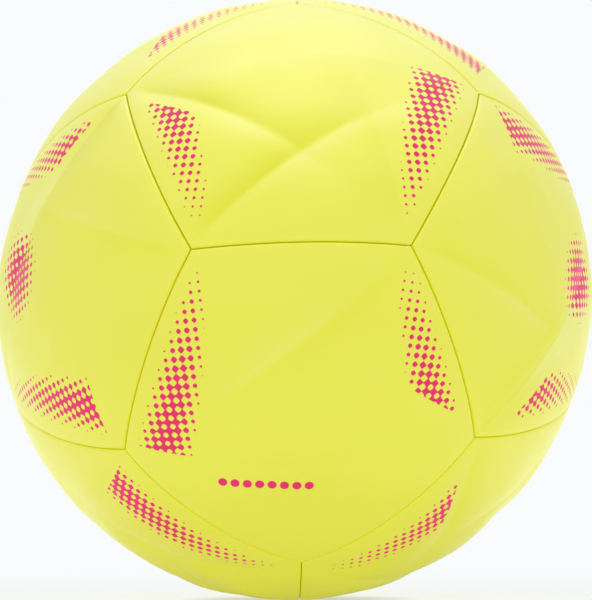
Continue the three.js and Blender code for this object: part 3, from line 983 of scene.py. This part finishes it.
def add_threads(yarn):
    """The thread of each of the thirty seams."""
    for first, second in itertools.combinations(PLACES, 2):
        if AXES[first][:, 2] @ AXES[second][:, 2] > NEIGHBOURS:
            body = thread_body(first, second)
            seam = first + "_" + second
            piece = new_mesh("stitches_" + seam, body.points, body.faces, yarn)
            take_place(piece, "thread_" + seam)


def add_bladder(rubber):
    """The bladder, with the patches of its surfaces welded together."""
    body = bladder_body()
    piece = new_mesh("bladder_rubber", body.points, body.faces, rubber)
    welded = bmesh.new()
    welded.from_mesh(piece.data)
    bmesh.ops.remove_doubles(welded, verts=welded.verts, dist=WELD * MM)
    welded.to_mesh(piece.data)
    welded.free()
    take_place(piece, "bladder")


def add_valve(rubber):
    """The valve's boot, and the plug that pulls out of it."""
    boot, plug = boot_body(), plug_body()
    take_place(new_mesh("boot_rubber", boot.points, boot.faces, rubber), "valve_boot")
    take_place(new_mesh("plug_rubber", plug.points, plug.faces, rubber), "valve_plug", "plug")


# The stage.

PHOTO_WIDTH, PHOTO_HEIGHT = 592, 600
PHOTO_MIDDLE = (297.8, 299.6)         # the ball's middle and radius in the picture, in pixels
PHOTO_RADIUS = 299.2
CAMERA_REACH = 25.5 * BALL
CAMERA_YAW = 1.042                    # degrees
CAMERA_ROLL = 0.252
CAMERA_SEES = 50.0                    # metres
SENSOR = 36.0


def add_camera():
    """The photo's camera: level, far away, with a long lens."""
    data = bpy.data.cameras.new("camera")
    camera = bpy.data.objects.new("camera", data)
    bpy.context.scene.collection.objects.link(camera)
    focus = PHOTO_RADIUS * math.sqrt((CAMERA_REACH / BALL) ** 2 - 1)
    data.sensor_width = SENSOR
    data.lens = SENSOR * focus / PHOTO_HEIGHT
    data.shift_x = -(PHOTO_MIDDLE[0] - PHOTO_WIDTH / 2) / PHOTO_HEIGHT
    data.shift_y = (PHOTO_MIDDLE[1] - PHOTO_HEIGHT / 2) / PHOTO_HEIGHT
    data.clip_end = CAMERA_SEES
    turn = Matrix.Rotation(math.radians(-CAMERA_YAW), 4, "Z")
    roll = Matrix.Rotation(math.radians(CAMERA_ROLL), 4, "Y")
    level = Matrix.Rotation(math.pi / 2, 4, "X")
    back = Matrix.Translation((0, -CAMERA_REACH * MM, 0))
    camera.matrix_world = turn @ back @ roll @ level
    bpy.context.scene.camera = camera


def add_lamp(name, place, size, power):
    """A soft lamp aimed at the ball's middle, with its place and size in metres."""
    data = bpy.data.lights.new(name, "AREA")
    data.shape = "RECTANGLE"
    data.size, data.size_y = size
    data.energy = power
    lamp = bpy.data.objects.new(name, data)
    bpy.context.scene.collection.objects.link(lamp)
    lamp.location = place
    lamp.rotation_euler = (-Vector(place)).to_track_quat("-Z", "Y").to_euler()


FLOOR_SIDE = 12000.0
FLOOR_GLOW = 0.87                     # light from the floor itself, as on a lit table
FLOOR_MIRRORED = 1.3
FLOOR_SEEN = 0.80                     # near the ball, and in its shade where it stands
FLOOR_STOOD_ON = 0.45
# Distances of the floor from the ball's middle, in the ball's radii, between which each shade fades out.
STOOD_ON_ENDS = (1.0, 1.09)
SHADE_ENDS = (0.95, 1.6)              # the ball's shade in what it mirrors
NEAR_ENDS = (1.2, 3.0)
FLOOR_COLOUR = (0.22, 0.223, 0.226, 1)
FLOOR_SHADED = (0.10, 0.09, 0.03, 1)
BACKDROP = (0.947, 0.965, 0.973, 1)
ROOM_LIGHT = 1.05                     # the room's light from level with the ball and from straight above
ROOM_ABOVE = 0.50
FRONT_ROOM = 2.1                      # brightness of what the ball mirrors in front, beside and behind it
SIDE_ROOM = 1.75
BACK_ROOM = 0.95
CEILING = 1.6                         # what it mirrors above, and how much more straight above
CEILING_PEAK = 1.5
CEILING_LEAN = math.radians(10)       # the ceiling is brightest a little behind the ball
KEY_PLACE = (0.0, 0.12, 1.8)
KEY_SIZE = (3.6, 1.2)
KEY_POWER = 0.5                       # watts


class World(Shader):
    """The surround's nodes, with the same short calls."""

    def __init__(self, name):
        world = bpy.data.worlds.new(name)
        bpy.context.scene.world = world
        world.use_nodes = True
        self.tree = world.node_tree
        self.surface = self.tree.nodes["Background"]


def add_world():
    """A pale backdrop, plain light from the room, and the brighter room that the ball mirrors."""
    world = World("surround")
    path = world.node("LightPath").outputs
    way = world.node("SeparateXYZ")
    world.feed(way.inputs[0], world.node("TexCoord").outputs["Generated"])
    ahead = world.span(way.outputs["Y"], -1, 0, FRONT_ROOM, SIDE_ROOM)
    behind = world.span(way.outputs["Y"], 0, 1, 0, BACK_ROOM - SIDE_ROOM)
    around = world.math("ADD", ahead, behind)
    back = world.math("MULTIPLY", way.outputs["Y"], math.sin(CEILING_LEAN))
    above = world.math("MULTIPLY_ADD", way.outputs["Z"], math.cos(CEILING_LEAN), back)
    above = world.span(above, 0, 1, 0, 1)
    ceiling = world.math("MULTIPLY_ADD", world.math("POWER", above, 3), CEILING_PEAK, CEILING)
    ceiling = world.math("MULTIPLY", ceiling, world.math("POWER", above, 2))
    mirrored = world.math("ADD", ceiling, around)
    room = world.span(above, 0, 1, ROOM_LIGHT, ROOM_ABOVE)
    strength = world.span(path["Is Glossy Ray"], 0, 1, room, mirrored)
    strength = world.span(path["Is Camera Ray"], 0, 1, strength, 1)
    world.set(Color=BACKDROP, Strength=strength)


def add_floor():
    """A pale floor lit from below, shaded where the ball stands and in what the ball mirrors."""
    shader = Shader("floor")
    path = shader.node("LightPath").outputs
    length = shader.node("VectorMath", operation="LENGTH")
    shader.feed(length.inputs[0], shader.place())
    away = shader.math("DIVIDE", length.outputs["Value"], MM * BALL)
    under = shader.span(away, *SHADE_ENDS, 1, 0)
    near = shader.span(away, *NEAR_ENDS, 1, 0)
    stood_on = shader.span(away, *STOOD_ON_ENDS, 1, 0)
    shade = shader.math("MULTIPLY", under, path["Is Glossy Ray"])
    seen = shader.span(stood_on, 0, 1, shader.span(near, 0, 1, 1, FLOOR_SEEN), FLOOR_STOOD_ON)
    glow = shader.span(path["Is Glossy Ray"], 0, 1, FLOOR_GLOW, FLOOR_MIRRORED)
    glow = shader.span(path["Is Camera Ray"], 0, 1, glow, seen)
    glow = shader.math("MULTIPLY", glow, shader.math("SUBTRACT", 1, shade))
    far = shader.math("MULTIPLY", shader.math("SUBTRACT", 1, near), path["Is Camera Ray"])
    colour = shader.mix(shade, shader.mix(far, FLOOR_COLOUR, (0, 0, 0, 1)), FLOOR_SHADED)
    shader.set(Base_Color=colour, Roughness=0.9)
    shader.set(Emission_Color=BACKDROP, Emission_Strength=glow, Specular_IOR_Level=0.0)
    half, level = FLOOR_SIDE / 2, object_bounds()[0].z / MM
    points = [(-half, -half, level), (half, -half, level), (half, half, level), (-half, half, level)]
    new_mesh("floor", points, [[0, 1, 2, 3]], shader.material)


def add_stage():
    """A white floor and surround, and soft light from above."""
    add_world()
    add_floor()
    add_lamp("key", KEY_PLACE, KEY_SIZE, KEY_POWER)


plain, backing, cloth = cover_material("cover_leather"), backing_material(), cloth_material()
covers = dict.fromkeys(MOTIF_PLACES, cover_material("cover_leather_disc", disc_ink))
covers[ROW_PLACE] = cover_material("cover_leather_row", row_ink)
for place in PLACES:
    add_panel(place, covers.get(place, plain), backing)
    add_lining(place, cloth)
add_threads(yarn_material())
add_bladder(rubber_material("bladder_rubber", **BLADDER_RUBBER))
add_valve(rubber_material("valve_rubber", **VALVE_RUBBER))
add_stage()
add_camera()

view = bpy.context.scene.view_settings
view.view_transform = "Standard"
